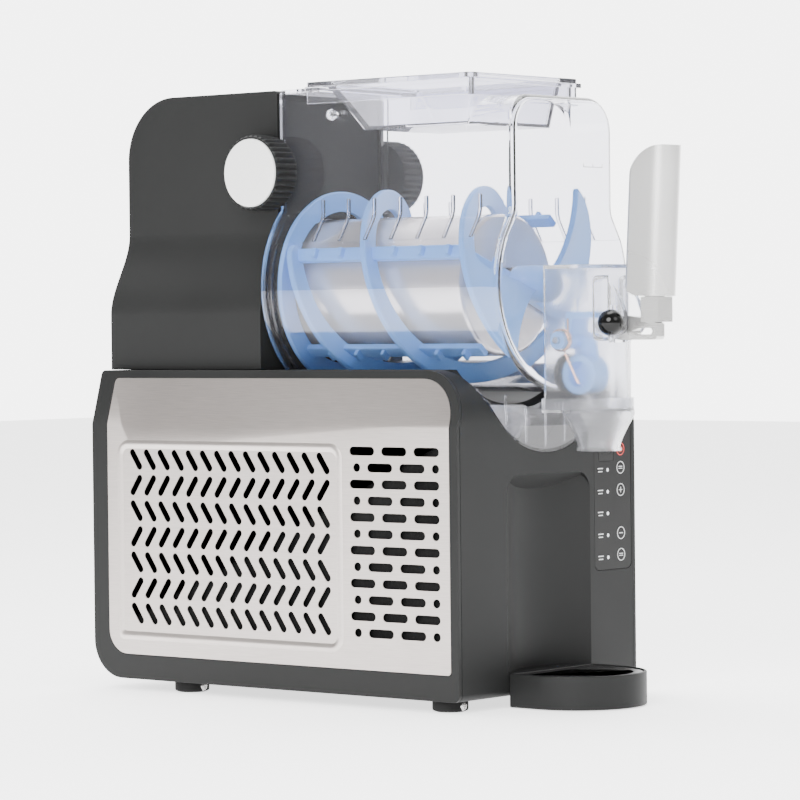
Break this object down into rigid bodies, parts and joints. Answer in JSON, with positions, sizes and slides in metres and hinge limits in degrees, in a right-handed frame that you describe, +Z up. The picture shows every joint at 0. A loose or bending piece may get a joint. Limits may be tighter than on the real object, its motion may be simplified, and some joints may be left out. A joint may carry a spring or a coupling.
{
  "type": "slush machine",
  "caption": "Counter-top frozen drink machine with a clear bowl, turning auger and pull tap over a vented cooling base with a drip tray.",
  "frame": {"origin": "middle of the bounding box in plan, at the underside of the feet", "axes": "+Z up, -Y to the front where the tap is, +X to the side that carries the control panel"},
  "size_m": [0.2024, 0.4624, 0.44],
  "materials": {
    "body_black": "fine-grained satin moulding",
    "vent_steel": "brushed stainless sheet",
    "clear_plastic": "clear moulding",
    "frosted_plastic": "hazy clear moulding",
    "cap_white": "glossy off-white",
    "rubber_black": "matt",
    "steel": "turned or rolled stainless",
    "copper": "bright copper",
    "blue_plastic": "satin light blue",
    "silver_plated": "satin silver with a fine grain",
    "gloss_black": "polished",
    "roller_white": "plain",
    "grille_black": "satin",
    "panel_black": "smooth film",
    "compressor_black": "black enamel",
    "motor_grey": "cast housing",
    "aluminium": "mill finish",
    "board_green": "solder mask"
  },
  "bodies": {
    "base": {"base_shell": "body_black", "left_side_cover": "body_black", "right_side_cover": "body_black", "tower_housing": "body_black", "rear_cover": "body_black", "left_vent_panel": "vent_steel", "right_vent_panel": "vent_steel", "condensate_tray": "clear_plastic", "bowl_gasket": "rubber_black", "shaft_seal": "rubber_black", "foot_front_left": "rubber_black", "foot_front_right": "rubber_black", "foot_rear_left": "rubber_black", "foot_rear_right": "rubber_black", "compressor_mount_front": "rubber_black", "compressor_mount_left": "rubber_black", "compressor_mount_right": "rubber_black", "freezing_drum": "steel", "shaft_bearing": "steel", "motor_bracket": "steel", "foot_screw_front_left": "steel", "foot_screw_front_right": "steel", "foot_screw_rear_left": "steel", "foot_screw_rear_right": "steel", "evaporator_coil": "copper", "suction_line": "copper", "discharge_line": "copper", "filter_dryer": "copper", "display_window": "gloss_black", "power_inlet": "grille_black", "fan_shroud": "grille_black", "control_panel": "panel_black", "compressor": "compressor_black", "gear_motor": "motor_grey", "fan_motor": "motor_grey", "condenser": "aluminium", "control_board": "board_green"},
    "auger": {"auger": "blue_plastic", "drive_shaft": "steel"},
    "fan": {"fan_blade": "grille_black"},
    "bowl": {"bowl": "clear_plastic", "tap_housing": "frosted_plastic", "tap_spout": "frosted_plastic", "lid_stud": "clear_plastic", "valve_pin": "steel"},
    "lid": {"lid": "clear_plastic"},
    "lever": {"lever_bar": "silver_plated", "tap_handle": "silver_plated", "lever_pin": "steel", "pin_ball": "gloss_black", "lever_roller": "roller_white"},
    "valve": {"tap_valve": "blue_plastic", "valve_pad": "rubber_black", "valve_spring": "copper"},
    "left_knob": {"left_knob": "body_black", "left_knob_cap": "cap_white"},
    "right_knob": {"right_knob": "body_black", "right_knob_cap": "cap_white"},
    "drip_tray": {"drip_tray": "body_black"},
    "drip_grille": {"drip_grille": "grille_black"}
  },
  "joints": [
    {"name": "auger_spin", "type": "hinge", "parent": "base", "child": "auger", "pos_m": [0, -0.10562, 0.2936], "axis": [0, 1, 0], "continuous": true},
    {"name": "fan_spin", "type": "hinge", "parent": "base", "child": "fan", "pos_m": [-0.048, 0.08138, 0.092], "axis": [1, 0, 0], "continuous": true},
    {"name": "bowl_pull", "type": "slide", "parent": "base", "child": "bowl", "axis": [0, -1, 0], "range_m": [0, 0.215]},
    {"name": "lid_lift", "type": "slide", "parent": "bowl", "child": "lid", "axis": [0, 0, 1], "range_m": [0, 0.06]},
    {"name": "lever_pull", "type": "hinge", "parent": "bowl", "child": "lever", "pos_m": [0, -0.18612, 0.266], "axis": [1, 0, 0], "range_deg": [0, 15], "stiffness_Nm_per_rad": 0.6, "springref_deg": -20.05},
    {"name": "valve_swing", "type": "hinge", "parent": "bowl", "child": "valve", "pos_m": [0, -0.14222, 0.254], "axis": [1, 0, 0], "range_deg": [-18, 0]},
    {"name": "left_knob_turn", "type": "hinge", "parent": "base", "child": "left_knob", "pos_m": [-0.072, 0.08638, 0.376], "axis": [1, 0, 0], "range_deg": [0, 90]},
    {"name": "right_knob_turn", "type": "hinge", "parent": "base", "child": "right_knob", "pos_m": [0.072, 0.08638, 0.376], "axis": [1, 0, 0], "range_deg": [0, 90]},
    {"name": "drip_tray_pull", "type": "slide", "parent": "base", "child": "drip_tray", "axis": [0, -1, 0], "range_m": [0, 0.09]},
    {"name": "drip_grille_lift", "type": "slide", "parent": "drip_tray", "child": "drip_grille", "axis": [0, 0, 1], "range_m": [0, 0.03]}
  ],
  "couplings": [
    {"joint": "valve_swing", "follows": "lever_pull", "ratio": -1.2}
  ]
}
